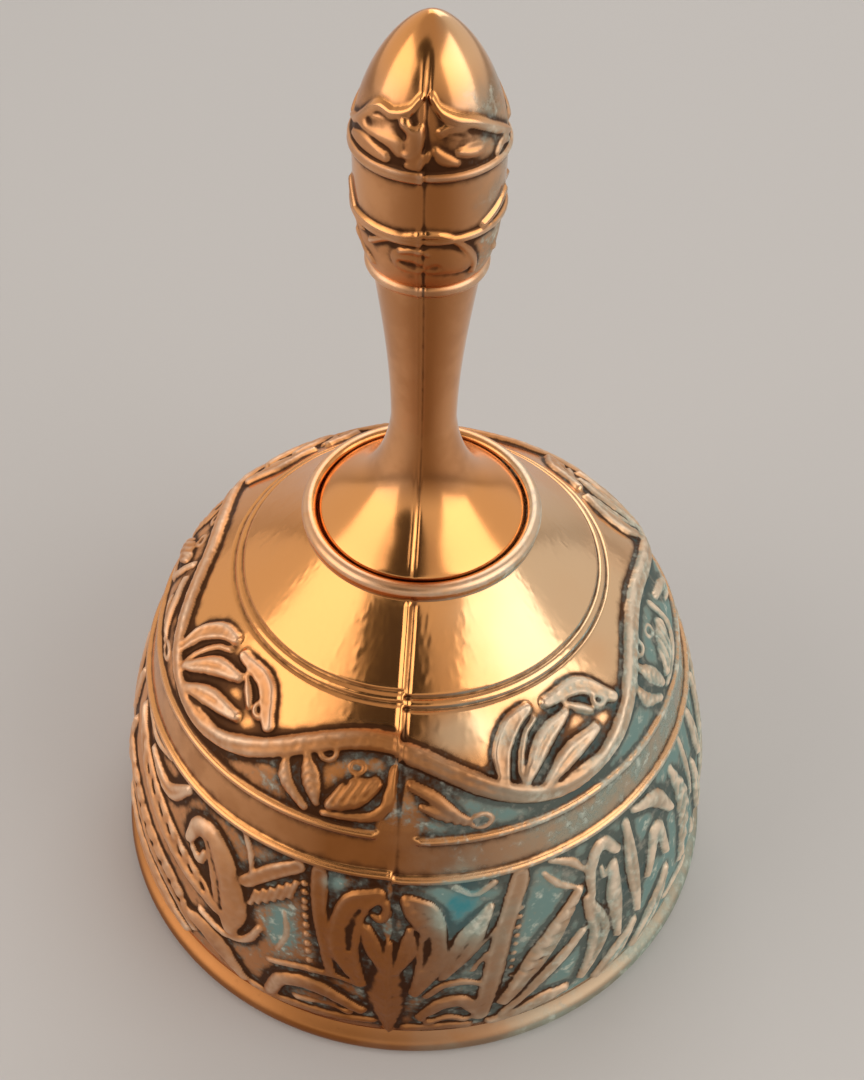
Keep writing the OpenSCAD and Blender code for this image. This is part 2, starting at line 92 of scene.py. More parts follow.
def way_along(outline):
    """Distance walked along an outline at each of its points."""
    return np.concatenate([[0], np.cumsum(np.hypot(*np.diff(outline, axis=0).T))])


def walk(outline, step):
    """An outline with its points spaced evenly, about a step apart."""
    outline = np.array(outline, float)
    gone = way_along(outline)
    marks = np.linspace(0, gone[-1], max(2, round(gone[-1] / step) + 1))
    return np.stack([np.interp(marks, gone, outline[:, k]) for k in (0, 1)], 1)


def shifted(outline, depth):
    """An outline walked upwards, shifted towards the axis by a depth."""
    way = np.gradient(outline, axis=0)
    way /= np.hypot(*way.T)[:, None]
    return outline + depth * np.stack([-way[:, 1], way[:, 0]], 1)


def smooth_run(path, n):
    """A smooth run through given points, with n steps from each to the next."""
    p = np.array(path, float)
    p = np.vstack([2 * p[0] - p[1], p, 2 * p[-1] - p[-2]])
    t = np.linspace(0, 1, n, endpoint=False)[:, None]
    run = [0.5 * (2 * b + (c - a) * t + (2 * a - 5 * b + 4 * c - d) * t * t
                  + (3 * b - 3 * c + d - a) * t ** 3)
           for a, b, c, d in zip(p, p[1:], p[2:], p[3:])]
    return np.vstack(run + [p[-2:-1]])


class Relief:
    """Carving laid over a turned wall. A point of it is (degrees from the seam,
    place on the ruler, half width in mm); the ruler has a place for each row."""

    steps = 24

    def __init__(self, columns, rows, ruler):
        self.turn = np.arange(columns) * 360 / columns - 180
        self.up = way_along(rows)
        self.radius = np.maximum(rows[:, 0], 0.5)
        self.ruler = ruler
        self.raised = np.zeros((len(rows), columns))
        self.cut = np.zeros((len(rows), columns))

    def lay(self, path, kind):
        """How a run rises over each row and column near it, from 0 to 1."""
        run = smooth_run(path, self.steps)
        ups = np.interp(run[:, 1], self.ruler, self.up)
        half = np.maximum(run[:, 2], 0.2)
        rows = np.where((self.up > ups.min() - half.max()) & (self.up < ups.max() + half.max()))[0]
        per_degree = np.radians(self.radius[rows])[:, None, None]
        margin = half.max() / per_degree.min()
        off = (self.turn - run[:, 0].min() + margin) % 360
        columns = np.where(off < np.ptp(run[:, 0]) + 2 * margin)[0]
        aside = (self.turn[columns][None, :, None] - run[:, 0] + 180) % 360 - 180
        away = np.hypot(aside * per_degree, self.up[rows][:, None, None] - ups) / half
        near = away.argmin(2)
        q = np.minimum(1, away.min(2))
        rise = np.sqrt(1 - q * q)
        if kind == "keel":
            rise = (1 - q) ** 0.8
        elif kind == "leaf":
            rise *= 0.62 + 0.38 * np.minimum(1, q / 0.3)
        elif kind == "lipped":
            rise = np.minimum(1, 4 * (1 - q)) * (0.72 + 0.28 * np.minimum(1, (q / 0.72) ** 4))
        elif kind == "veined":
            rise *= 0.82 + 0.18 * np.cos(2 * np.pi * (near * 0.14 - q * 1.2))
        return np.ix_(rows, columns), rise

    def carve(self, path, kind="round", height=None):
        """Raises a form: the broader it is, the higher, unless a height is given."""
        if height is None:
            height = emboss_h * min(1, 0.35 + 0.4 * max(point[2] for point in path))
        spot, rise = self.lay(path, kind)
        self.raised[spot] = np.maximum(self.raised[spot], height * rise)

    def top(self, path, height, kind="round"):
        """Adds a low form over whatever is there."""
        spot, rise = self.lay(path, kind)
        self.cut[spot] += height * rise

    def sink(self, path, depth):
        """Cuts a hollow into whatever is there."""
        self.top(path, -depth)

    def beads(self, path, half, count, height):
        """Raises a row of round beads along a path of (degrees, place) points."""
        run = smooth_run([(turn, place, half) for turn, place in path], self.steps)
        for k in range(count):
            turn, place, _ = run[round(k * (len(run) - 1) / (count - 1))]
            self.carve([(turn, place, half), (turn + 0.01, place, half)], height=height)

    def eye(self, turn, place, across, tall, half, height):
        """Raises an oval ring."""
        path = [(turn + across * math.sin(a), place + tall * math.cos(a), half)
                for a in np.linspace(0, 2 * math.pi, 9)]
        self.carve(path, height=height)

    def repeat(self, count):
        """Repeats what is laid so far round the axis."""
        step = self.raised.shape[1] // count
        self.raised = np.max([np.roll(self.raised, k * step, 1) for k in range(count)], axis=0)
        self.cut = np.sum([np.roll(self.cut, k * step, 1) for k in range(count)], axis=0)


def soften(height, times):
    """Rounds a height field off a little, as sand casting does."""
    for _ in range(times):
        height = (np.roll(height, 1, 1) + 2 * height + np.roll(height, -1, 1)) / 4
        padded = np.vstack([height[:1], height, height[-1:]])
        height = (padded[:-2] + 2 * padded[1:-1] + padded[2:]) / 4
    return height


def unevenness(turn, up, seed, waves, lobes):
    """Seeded waves round and up a casting, about -1 to 1."""
    dice = random.Random(seed)
    total = np.zeros((len(up), len(turn)))
    for _ in range(waves):
        around = dice.randint(2, lobes)
        along = dice.uniform(-lobes, lobes) / 40
        total += np.cos(np.radians(around * turn)[None, :] + along * up[:, None]
                        + dice.uniform(0, 2 * math.pi))
    return total / math.sqrt(waves)


def mottle(shape, seed, times):
    """Seeded lumps of a few rows and columns each, about -1 to 1."""
    lumps = soften(np.random.default_rng(seed).normal(size=shape), times)
    return lumps / (3 * lumps.std())


def turned_piece(name, outline, lift, closed, marks):
    """Mesh of an outline in mm turned about Z, each row raised along its normal.
    An outline that isn't closed starts and ends on the axis, in a fan."""
    way = np.roll(outline, -1, 0) - np.roll(outline, 1, 0) if closed else np.gradient(outline, axis=0)
    way /= np.maximum(1e-9, np.hypot(*way.T))[:, None]
    rows, columns = lift.shape
    turn = np.radians(np.arange(columns) * 360 / columns - 180)
    r = outline[:, 0, None] + way[:, 1, None] * lift
    z = outline[:, 1, None] - way[:, 0, None] * lift
    points = (np.stack([r * np.sin(turn), -r * np.cos(turn), z], 2) * MM).reshape(-1, 3).tolist()
    column = np.arange(columns)
    after = (column + 1) % columns
    low = np.arange(rows if closed else rows - 1)[:, None] * columns
    high = (low + columns) % (rows * columns)
    faces = np.stack([low + column, low + after, high + after, high + column], 2).reshape(-1, 4).tolist()
    gone = way_along(np.vstack([outline, outline[:1]]) if closed else outline)
    gone /= gone[-1]
    left = np.broadcast_to(column / columns, (len(low), columns))
    right = left + 1 / columns
    under = np.broadcast_to(gone[:-1, None], left.shape)
    over = np.broadcast_to(gone[1:, None], left.shape)
    corners = np.stack([left, under, right, under, right, over, left, over], 2).ravel()
    mesh = bpy.data.meshes.new(name)
    mesh.from_pydata(points, [], faces)
    mesh.uv_layers.new(name="OFBake").data.foreach_set("uv", corners.astype(np.float32))
    for mark, field in marks.items():
        values = field.ravel().astype(np.float32)
        mesh.attributes.new(mark, "FLOAT", "POINT").data.foreach_set("value", values)
    mesh.polygons.foreach_set("use_smooth", np.ones(len(mesh.polygons), bool))
    if not closed:
        work = bmesh.new()
        work.from_mesh(mesh)
        bmesh.ops.remove_doubles(work, verts=work.verts, dist=1e-7)
        work.to_mesh(mesh)
        work.free()
    piece = bpy.data.objects.new(name, mesh)
    bpy.context.scene.collection.objects.link(piece)
    return piece


skirt_z = np.linspace(rim_top_z, shoulder_z, 400)
skirt_share = (skirt_z - rim_top_z) / (shoulder_z - rim_top_z)
skirt = np.stack([skirt_foot_r - (skirt_foot_r - shoulder_r) * skirt_share ** skirt_bulge, skirt_z], 1)
lean = (skirt[-1] - skirt[-3]) / np.hypot(*(skirt[-1] - skirt[-3]))
shoulder_top = np.array([crown_ring_r - 0.3 * crown_bead_r, crown_z - 0.7 * crown_bead_r])
shoulder = bezier([skirt[-1], skirt[-1] + 4.4 * lean, shoulder_top + [5.3, -6.8], shoulder_top], 300)
carved_wall = walk(np.vstack([skirt, shoulder[1:]]), 0.2)
up = way_along(carved_wall)
low_bead, top_bead = np.interp([band_low_z, band_top_z], carved_wall[:, 1], up)
lower = Relief(BELL_COLUMNS, carved_wall, up)
turn = lower.turn

# Heart of two scrolls over a lozenge leaf, on the seam
lower.carve([(-5.2, 10.4, 0.8), (-8, 15.6, 2), (-8.4, 20.5, 2.3), (-6.8, 24.8, 2.1), (-2.6, 26.8, 1.1)],
            "lipped")
lower.carve([(4.6, 9.8, 0.8), (7, 15, 1.9), (7.7, 20, 2), (6.8, 24.8, 1.7), (3, 26.8, 1)], "lipped")
lower.carve([(0, 0.9, 1), (-0.6, 6, 2.8), (-0.5, 11, 3), (0, 19.4, 0.7)], "keel")
lower.carve([(-2.6, 26.6, 0.9), (-0.9, 24.8, 0.7), (-1.8, 22.8, 0.7), (-3.4, 23.4, 0.5)], height=0.85)
lower.carve([(2.8, 26.4, 0.9), (3.6, 24.4, 0.8), (5.8, 22, 0.8), (6.2, 20.6, 0.6)], height=1.2)
lower.carve([(-1.4, 14, 0.5), (-3.2, 18, 1.4), (-4.4, 21.5, 0.5)], "leaf", 1.1)
lower.carve([(1.2, 14, 0.5), (3, 18, 1.4), (3.6, 22, 0.5)], "leaf", 1.1)

# Beaded straps left of the heart, like a V upside down
lower.carve([(-14.2, 28.6, 1.2), (-13.4, 22.5, 1.2), (-10.8, 11.6, 0.8)], "lipped")
lower.carve([(-18.4, 28.4, 1.1), (-23.4, 25.8, 1.2), (-29, 21.8, 1.1)], "lipped")
lower.beads([(-16.9, 26), (-15.9, 19), (-14.6, 10.8)], 0.6, 11, 0.85)
for k in range(6):
    lower.carve([(-18.6 - 1.6 * k, 25.6 - 0.9 * k, 0.5), (-19.6 - 1.6 * k, 22.8 - 0.9 * k, 0.45)],
                height=0.8)
lower.carve([(-31, 29.5, 0.5), (-29, 26.5, 0.6), (-28, 23.5, 0.5)])
lower.carve([(-21.4, 12, 0.4), (-19.6, 16, 0.6), (-20.4, 20, 0.3)])

# Pointed leaf, crossing stems and the long strap right of the heart
lower.carve([(9.8, 13.2, 0.7), (13.4, 18.6, 2.2), (18.4, 24.6, 0.7)], "leaf")
lower.carve([(9, 12.4, 0.5), (13.4, 15.8, 0.65), (19.6, 21, 0.5)])
lower.carve([(15, 13.5, 0.5), (17.5, 16.5, 0.5)])
lower.carve([(24.6, 28.6, 1.3), (20, 18, 1.4), (16.6, 3.6, 1.4)], "lipped")
lower.carve([(26, 27.5, 0.5), (23, 21.5, 0.5), (21, 14.5, 0.5), (19.6, 5.5, 0.5)])
lower.beads([(24.6, 23), (22.9, 16), (21.7, 9.5)], 0.5, 10, 0.75)
lower.carve([(12, 28.6, 0.7), (15.6, 27, 0.5), (19.4, 28.4, 0.7)])

# Wing of leaves that rises to the right
lower.carve([(20.8, 5.8, 1.1), (28.6, 14.4, 2.2), (36.6, 22.2, 0.7)])
lower.top([(21, 7.5, 0.4), (26, 13, 0.6), (31, 18, 0.6), (35, 22, 0.4)], 0.25)
lower.carve([(20.6, 2.6, 0.7), (29, 8.8, 1.4), (37, 14, 0.7)])
lower.top([(20, 4, 0.4), (26, 8.5, 0.5), (32, 13, 0.5), (36, 14.5, 0.3)], 0.2)
lower.carve([(18.4, 1.4, 0.8), (28, 2.8, 1.7), (33.4, 3, 0.8)])
lower.carve([(37.8, 20, 0.7), (40.8, 11.6, 2.2), (37, 3.6, 0.8)], "leaf")
lower.carve([(29.4, 27.4, 0.4), (32.4, 24.6, 0.7), (36.4, 22.4, 0.4)])
lower.carve([(31, 29, 0.5), (35.4, 27.2, 0.8), (38.6, 24.4, 0.4)])

# Shells along the foot, each an arch over a hollowed dome
lower.carve([(-22.6, 2.4, 1.2), (-20, 6.4, 1.4), (-13.4, 7.6, 1.6), (-5, 4.4, 0.9)])
lower.carve([(-7.4, 3.4, 0.9), (-11, 4.6, 1.3), (-17, 3.8, 1.2)], height=0.9)
lower.carve([(5.8, 4, 0.9), (9.4, 7.1, 1.4), (13.6, 7.1, 1.4), (16, 3.4, 0.9)])
lower.carve([(7, 3, 0.9), (10.4, 4.2, 1.2), (14, 3, 0.9)], height=0.9)
lower.carve([(-23, 9, 0.6), (-16, 10.6, 0.7), (-9.6, 10.8, 0.7), (-6, 10, 0.6)])
lower.carve([(6.6, 8.8, 0.6), (9.6, 11.1, 0.8), (13.4, 11.5, 0.8), (17, 10.4, 0.6)])
lower.carve([(-27, 1.2, 0.7), (-18, 1.4, 0.9), (-9, 1.5, 0.9), (-3, 2, 0.8)])
lower.carve([(3, 1.3, 0.9), (9, 1.6, 0.9), (14.5, 1.2, 0.8)])
lower.sink([(-17.4, 4.2, 0.8), (-12.6, 4.9, 1.2), (-8.4, 4.2, 0.7)], 0.85)
lower.sink([(7.6, 4.2, 0.7), (11, 4.8, 1), (14, 3.8, 0.7)], 0.8)
lower.sink([(-7.4, 17, 0.5), (-7.2, 21, 0.9), (-5.6, 24, 0.6)], 0.3)
lower.sink([(5.6, 15, 0.4), (6.6, 19, 0.8), (5.8, 22.6, 0.5)], 0.3)

# Great scroll on the left, with its tail, its curls and the lobes below it
lower.carve([(-31.6, 11.4, 1.6), (-32.2, 16, 3.2), (-34.8, 21.6, 2.9), (-38.2, 25, 2.2), (-42, 24.8, 1.6),
             (-43.8, 21.8, 1)], height=1.25)
lower.carve([(-42.6, 20.6, 0.8), (-40.4, 19.6, 0.9), (-39.4, 21.4, 0.7)], height=1.0)
lower.sink([(-38.6, 24.2, 0.5), (-35.4, 19.6, 0.7), (-33.6, 14.6, 0.5)], 0.3)
lower.carve([(-35, 13.6, 1.6), (-50, 17.6, 2.6), (-64, 22.6, 2.2), (-72, 27, 0.8)])
lower.sink([(-38, 15, 0.4), (-50, 18.2, 0.7), (-62, 22.4, 0.5)], 0.3)
lower.carve([(-76, 16, 0.8), (-62, 12, 2.6), (-48, 8.2, 2.6), (-41.5, 4, 0.9)], "leaf")
lower.carve([(-42, 6.8, 1.2), (-36, 6, 2.6), (-28.6, 1.8, 0.9)])
lower.carve([(-39.4, 10, 0.6), (-33.4, 9.2, 0.8), (-28, 11, 0.9), (-25.2, 14.6, 0.5)], height=0.95)
lower.carve([(-44, 1.6, 0.9), (-56, 4, 2.4), (-74, 7, 0.8)], "leaf")
lower.carve([(-47, 28.4, 0.8), (-53, 24.6, 1.5), (-62, 26, 0.7)], "leaf")
lower.carve([(-55, 29, 0.5), (-62, 28, 0.8), (-70, 29, 0.5)])
lower.sink([(-28, 2.6, 0.7), (-26.4, 4.4, 0.8)], 0.25)
for k in range(8):
    lower.sink([(-71 + 3.6 * k, 14.6 - 1.1 * k, 0.3), (-69.4 + 3.6 * k, 16.4 - 1.1 * k, 0.3)], 0.3)
    lower.sink([(-67 + 3.8 * k, 24.4 - 1.1 * k, 0.3), (-65 + 3.8 * k, 22.6 - 1.1 * k, 0.3)], 0.28)

for k in range(6):
    lower.sink([(24 + 1.9 * k, 11.6 + 1.7 * k, 0.3), (26.4 + 1.9 * k, 11.2 + 1.7 * k, 0.3)], 0.3)

# Small scroll on the right, with its stem and leaves
lower.carve([(39.2, 18.4, 0.7), (39.6, 24.4, 1.2), (42.8, 27.2, 1.2), (46.4, 24.4, 0.9)])
lower.carve([(45, 22.6, 0.9), (44.4, 15.6, 1.8), (45.4, 8, 0.7)])
lower.carve([(49.6, 27.4, 0.7), (49.8, 19, 1.5), (51, 9.6, 0.7)], "leaf")
lower.carve([(40.6, 1.4, 0.9), (45, 3.8, 2), (49.8, 7.6, 0.8)], "leaf")
lower.carve([(50.4, 1.6, 1), (56, 5.4, 2.3), (60.4, 11, 0.8)], "leaf")
lower.carve([(54, 14.6, 0.7), (57.8, 21, 1.6), (60.8, 14.6, 0.8)])
lower.carve([(52.4, 28.2, 0.7), (59, 26.2, 1.5), (64, 21, 0.8)])
lower.carve([(66.4, 26.6, 0.7), (69.6, 17, 2.2), (67.6, 6.6, 0.8)], "veined")
lower.carve([(44.4, 22.8, 0.6), (42.4, 21.6, 0.6), (42, 23.4, 0.5)], height=0.8)
lower.carve([(61, 3, 0.5), (66, 3.8, 0.9), (72, 2.4, 0.5)])
lower.carve([(72.4, 28.4, 0.5), (73.6, 22, 0.8), (74.6, 15, 0.4)])

# Standing palm between the front's carving and its copy at the back
lower.carve([(90, 1.4, 1.6), (90, 13.6, 2.8), (90, 28, 0.7)], "leaf")
palm_leaves = [
    [(6.4, 3.6, 0.8), (10.6, 11, 1.9), (13.2, 20, 0.7)],
    [(5.4, 15.6, 0.7), (8.2, 21.6, 1.5), (10, 28, 0.7)],
    [(8, 1.6, 0.5), (13, 4, 0.9), (15, 8.6, 0.4)],
    [(2, 26.4, 0.3), (4.4, 28.4, 0.5), (7.6, 29, 0.3)]]
for side in (-1, 1):
    for path in palm_leaves:
        lower.carve([(90 + side * turns, place, half) for turns, place, half in path], "leaf")
lower.repeat(2)

# Shoulder: a scroll under each crest of the vine, fronds over each dip
upper = Relief(BELL_COLUMNS, carved_wall, up - top_bead)
upper.carve([(-14, 3.2, 0.9), (-9.5, 4.9, 2), (-4.8, 6.6, 1)])
upper.carve([(-0.9, 8.6, 0.6), (-3.4, 3, 0.9), (-15, 1.6, 0.6)])
upper.carve([(-21.4, 8.2, 0.7), (-19, 5.4, 1.4), (-16.8, 2.8, 0.7)], "veined")
upper.carve([(-26, 7.2, 0.7), (-24.4, 4.2, 1.1), (-19.4, 1.6, 0.7)], "veined")
upper.eye(-17, 9.2, 2.2, 0.95, 0.42, 0.8)
upper.eye(-9.4, 8.2, 1.7, 0.7, 0.34, 0.6)
for k in range(5):
    upper.sink([(-15.4 + 2.2 * k, 3 + 0.5 * k, 0.3), (-13 + 2.2 * k, 6 + 0.3 * k, 0.25)], 0.35)
for k in range(7):
    upper.sink([(3.4 + 2.2 * k, 1 + 0.1 * k, 0.3), (5 + 2.2 * k, 3 - 0.1 * k, 0.3)], 0.3)
upper.carve([(3, 7.4, 0.7), (8, 5.8, 1), (14, 2.8, 0.7)])
upper.carve([(5.4, 4.8, 0.5), (10, 3.4, 0.9), (15.6, 1.8, 0.4)])
upper.eye(17.6, 2.2, 2.2, 0.9, 0.4, 0.7)
upper.carve([(23.4, 6.8, 0.8), (24.4, 10, 1.2), (28.6, 12.7, 1.2), (34, 13.8, 0.7)], "lipped")
upper.carve([(28.4, 6, 0.7), (35, 9.6, 1.4), (43, 11.2, 0.7)], "leaf")
upper.carve([(32, 4.6, 0.6), (39.6, 6.6, 1.4), (48.4, 7.4, 0.7)], "leaf")
upper.carve([(39.6, 13.4, 0.7), (50.4, 12.8, 1.2), (57, 8.8, 0.8)], "lipped")
upper.carve([(27, 5.5, 0.4), (28, 8, 0.5), (31, 11, 0.5), (35, 12.4, 0.4)])
upper.carve([(33, 3.4, 0.4), (38, 4.4, 0.6), (45, 4.6, 0.4)])
upper.carve([(50, 9.4, 0.4), (48, 10.4, 0.6), (44, 12.2, 0.4)])
upper.eye(53.4, 10, 1.9, 0.9, 0.4, 0.7)
upper.repeat(4)

# The vine runs once round the shoulder, in four waves
vine_up = top_bead + vine_mid + vine_rise * np.cos(np.radians(4 * (turn - vine_crest)))
vine_slope = np.gradient(vine_up) / (np.radians(360 / BELL_COLUMNS) * vine_r)
off_vine = (up[:, None] - vine_up) / (vine_half * np.sqrt(1 + vine_slope ** 2))
vine_groove = 0.78 + 0.22 * np.minimum(1, np.abs(off_vine) / 0.5)
vine = emboss_h * np.sqrt(np.maximum(0, 1 - off_vine ** 2)) * vine_groove

# Sunk ground behind the carving, with the two beads and the engraved lines
ground_depth = 0.3
line_depth = 0.3
line_places = (0.55, 0.595)
under_low = np.interp(up, [0.4, 1.1, low_bead - 0.8, low_bead - 0.3], [0, 1, 1, 0])[:, None]
over_top = np.interp(up, [top_bead + 0.4, top_bead + 0.9], [0, 1])[:, None]
under_vine = np.clip(0.5 - off_vine, 0, 1) * over_top
raised = np.maximum(lower.raised * (up < low_bead)[:, None], np.maximum(upper.raised * over_top, vine))
near_carving = np.clip(soften(raised > 0.05, 40) * 2.6 - 0.5, 0, 1)
worked = np.clip(under_low + under_vine + near_carving * (up > top_bead)[:, None], 0, 1)
cut = lower.cut * under_low + upper.cut * over_top
lumps = mottle(raised.shape, seed=21, times=5)
rough_ground = np.maximum(raised, (0.02 + 0.11 * worked) * lumps)
casting = soften(rough_ground - ground_depth * (under_low + under_vine) + cut, 2)
casting += 0.06 * worked * mottle(raised.shape, seed=22, times=3)
# Crest marks the tops of ridges, where the finish paints a pale highlight.
crest = np.clip((casting - soften(casting, 30)) / 0.3, 0, 1)
relief = np.clip((casting + ground_depth) / (emboss_h + ground_depth), 0, 1)
# Each bead is raised, and its top gets a painted highlight and counts as worked.
for bead in (low_bead, top_bead):
    casting = np.maximum(casting, np.sqrt(np.maximum(0, band_bead_r ** 2 - (up - bead) ** 2))[:, None])
    crest = np.maximum(crest, 0.8 * np.exp(-((up - bead) / 0.4) ** 2)[:, None])
    worked = np.maximum(worked, 0.5 * np.exp(-((up - bead) / 0.5) ** 2)[:, None])
for share in line_places:
    line = np.interp(shoulder[round(share * (len(shoulder) - 1)), 1], carved_wall[:, 1], up)
    casting -= line_depth * np.exp(-((up - line) / 0.24) ** 2)[:, None]

# At the seam the halves of the mould were half a millimetre out of line. Its
# flash stands as a fin with a nick beside it, and was filed flat over the band.
mould_slip = 0.55
slip = mould_slip * np.exp(-np.abs(turn) / 40) * (turn < 0)
for k in np.where(slip > 0.01)[0]:
    casting[:, k] = np.interp(up - slip[k], up, casting[:, k])
    for mark in (worked, crest, relief):
        mark[:, k] = np.interp(up - slip[k], up, mark[:, k])
filed_up = np.interp(up - top_bead, [-1.6, -0.9, 1.4, 5], [0, 1, 1, 0])[:, None]
filed = filed_up * np.interp(turn, [-4.4, -3, 3.6, 5.2], [0, 1, 1, 0])
casting += filed * (0.1 - casting)
worked *= 1 - filed
crest *= 1 - filed
aside = np.radians(turn) * carved_wall[:, :1]
fin = 0.26 * np.exp(-((aside + 0.3) / 0.32) ** 2) - 0.22 * np.exp(-((aside - 0.4) / 0.32) ** 2)
behind = np.radians((turn + 360) % 360 - 180) * carved_wall[:, :1]
fin += 0.2 * np.exp(-(behind / 0.5) ** 2)
fin_share = np.interp(up, [0, 2, low_bead, top_bead + 4, top_bead + 7], [0.2, 0.4, 0.5, 0.6, 1])
casting += fin * fin_share[:, None]
casting += (0.01 + 0.025 * worked) * unevenness(turn, up, seed=11, waves=14, lobes=24)
casting *= np.interp(up, [0, 0.6, up[-1] - 0.6, up[-1]], [0, 1, 1, 0])[:, None]
room_at_foot = mouth_r - 0.02 - carved_wall[:, :1]
casting = np.minimum(casting, room_at_foot)

rim = np.vstack([
    arc((mouth_r - rim_bead_r, rim_bead_r), rim_bead_r, -90, 62, 22),
    smooth_run([(mouth_r - 1.35, 3.45), (mouth_r - 1.85, 4.08), (mouth_r - 1.6, 4.34)], 4)])
crown = np.vstack([
    arc((crown_ring_r - crown_bead_r, crown_z + 0.4 * crown_bead_r), crown_bead_r, -20, 200, 24),
    walk([(crown_ring_r - 2 * crown_bead_r, crown_z), (bolt_hole_r, crown_z)], 1.6)])
inner_skirt = shifted(skirt, wall)
inner_skirt = inner_skirt[skirt[:, 1] > bow_h + 6][::16]
inner_shoulder = shifted(shoulder, wall)[20::16]
inner_shoulder = inner_shoulder[inner_shoulder[:, 1] < crown_under_z]
pad_edge = (inner_shoulder[-1][0] - 0.8, crown_under_z)
inner_mouth_r = skirt_foot_r - bow_wall
inside = np.vstack([
    walk([(bolt_hole_r, crown_z - 0.3), (bolt_hole_r, crown_under_z)], 1.2),
    walk([(bolt_hole_r + 0.6, crown_under_z), pad_edge], 1.6),
    inner_shoulder[::-1], inner_skirt[::-1],
    walk([(inner_mouth_r, bow_h), (inner_mouth_r, 0.8)], 1.0),
    walk([(inner_mouth_r + 0.44, 0), (mouth_r - rim_bead_r - 0.4, 0)], 0.8)])
outline = np.vstack([rim, carved_wall, crown, inside])
carved = slice(len(rim), len(rim) + len(carved_wall))


def marked(background, field):
    """A field over the carved wall, set in a plain value for the other rows."""
    mark = np.full((len(outline), BELL_COLUMNS), float(background))
    mark[carved] = field
    return mark


# Marks that the finish reads: where the metal is hidden, how hollow it lies (for painted shade), its ridges
# (for a painted highlight), where it is roughly worked, where it is damp enough for verdigris and painted
# with cool light, and where dark reflection is painted
crown_ring = slice(carved.stop + 2, carved.stop + 14)
under_foot = slice(carved.stop + 14, carved.stop + len(crown))
inner_mark = marked(0, 0)
inner_mark[under_foot.stop:] = 1
hollow_mark = marked(0, np.clip((soften(casting, 40) - casting) / 0.4, 0, 1))
# Under the handle's foot the hollow mark is set so that shade is painted there.
hollow_mark[under_foot] = 0.2
# The crest mark places a painted highlight; the crown ring gets it all round.
crest_mark = marked(0, crest)
crest_mark[crown_ring] = 0.8
worked_mark = marked(0, worked)
worked_mark[:len(rim)] = 1
worked_mark[crown_ring] = 0.5
# Damp grows towards the right side; this bias also paints a cool light there through the finish.
damp_and_cool_light_mark = np.tile(0.5 + 0.5 * np.cos(np.radians(turn - 80)), (len(outline), 1))
damp_and_cool_light_mark[:len(rim)] *= 1.1

# Stains: degrees from the seam, mm up the wall, breadth, height and strength
green_stains = [(13, 25.5, 4.4, 4, 1.1), (-21, 17, 3, 5, 0.45), (-11.5, 28, 2.5, 1.5, 0.5),
                (193, 25.5, 4.4, 4, 1.1), (159, 17, 3, 5, 0.45), (15, 49, 10, 3, 0.4)]
for at, place, wide, tall, strength in green_stains:
    beside = ((turn - at + 180) % 360 - 180) / wide
    damp_and_cool_light_mark[carved] += strength * np.exp(-beside ** 2) * np.exp(-((up - place) / tall) ** 2)[:, None]

# A painted dark reflection darkens the front and the back, most of all beside the seam and along the vine
# right of the seam; under the handle's foot it is painted shade, and the rim is painted darker all round
smoke = np.exp(-(turn / 34) ** 2) + np.exp(-((np.abs(turn) - 180) / 34) ** 2)
painted_dark_mark = np.tile(smoke, (len(outline), 1))
painted_dark_mark[:len(rim)] = np.maximum(smoke, 0.6) + 0.3
painted_dark_mark[carved] += 0.5 * np.exp(-(turn / 13) ** 2)
painted_dark_mark[crown_ring] *= 0.3
painted_dark_mark[under_foot] = 1.3
painted_dark_mark[carved] += np.exp(-((turn - 13) / 11) ** 2) * np.clip(1.4 - np.abs(off_vine), 0, 1) * over_top
bell_casting = turned_piece("bell_casting", outline, marked(0, casting), True, {
    "relief": marked(0.5, relief), "hollow": hollow_mark, "crest": crest_mark, "worked": worked_mark,
    "damp": damp_and_cool_light_mark, "smoke": painted_dark_mark, "inner": inner_mark})


class Strand:
    """A socket in a finish's node tree; sums on it add Math nodes."""

    def __init__(self, tree, socket=None):
        self.tree = tree
        self.socket = socket

    def node(self, kind, settings=None, inputs=None, out=0):
        """Adds a node: its settings, then the values or links of its sockets."""
        made = self.tree.nodes.new(kind)
        for name, value in (settings or {}).items():
            if name == "stops":
                while len(made.color_ramp.elements) < len(value):
                    made.color_ramp.elements.new(0.5)
                for stop, (place, colour) in zip(made.color_ramp.elements, value):
                    stop.position = place
                    stop.color = (*colour, 1)
            else:
                setattr(made, name, value)
        for name, value in (inputs or {}).items():
            if isinstance(value, Strand):
                self.tree.links.new(value.socket, made.inputs[name])
            elif isinstance(value, tuple) and made.inputs[name].type == "RGBA":
                made.inputs[name].default_value = (*value, 1)
            else:
                made.inputs[name].default_value = value
        return Strand(self.tree, made.outputs[out] if made.outputs else None)

    def sum(self, operation, first, second):
        return self.node("ShaderNodeMath", {"operation": operation}, {0: first, 1: second})

    def __add__(self, other):
        return self.sum("ADD", self, other)

    def __radd__(self, other):
        return self.sum("ADD", other, self)

    def __sub__(self, other):
        return self.sum("SUBTRACT", self, other)

    def __rsub__(self, other):
        return self.sum("SUBTRACT", other, self)

    def __mul__(self, other):
        return self.sum("MULTIPLY", self, other)

    def __rmul__(self, other):
        return self.sum("MULTIPLY", other, self)

    def between(self, low, high):
        """How far this value has gone from low to high, from 0 to 1."""
        return self.node("ShaderNodeMapRange", {"interpolation_type": "SMOOTHSTEP"},
                         {"Value": self, "From Min": low, "From Max": high})

    def tint(self, colour, other):
        """One colour where this mask is 0, turning to the other where it is 1."""
        return self.node("ShaderNodeMix", {"data_type": "RGBA"}, {0: self, 6: colour, 7: other}, 2)


def new_finish(name):
    """An empty node material, and the strand that its nodes are added from."""
    material = bpy.data.materials.new(name)
    material.use_nodes = True
    material.node_tree.nodes.clear()
    return material, Strand(material.node_tree)
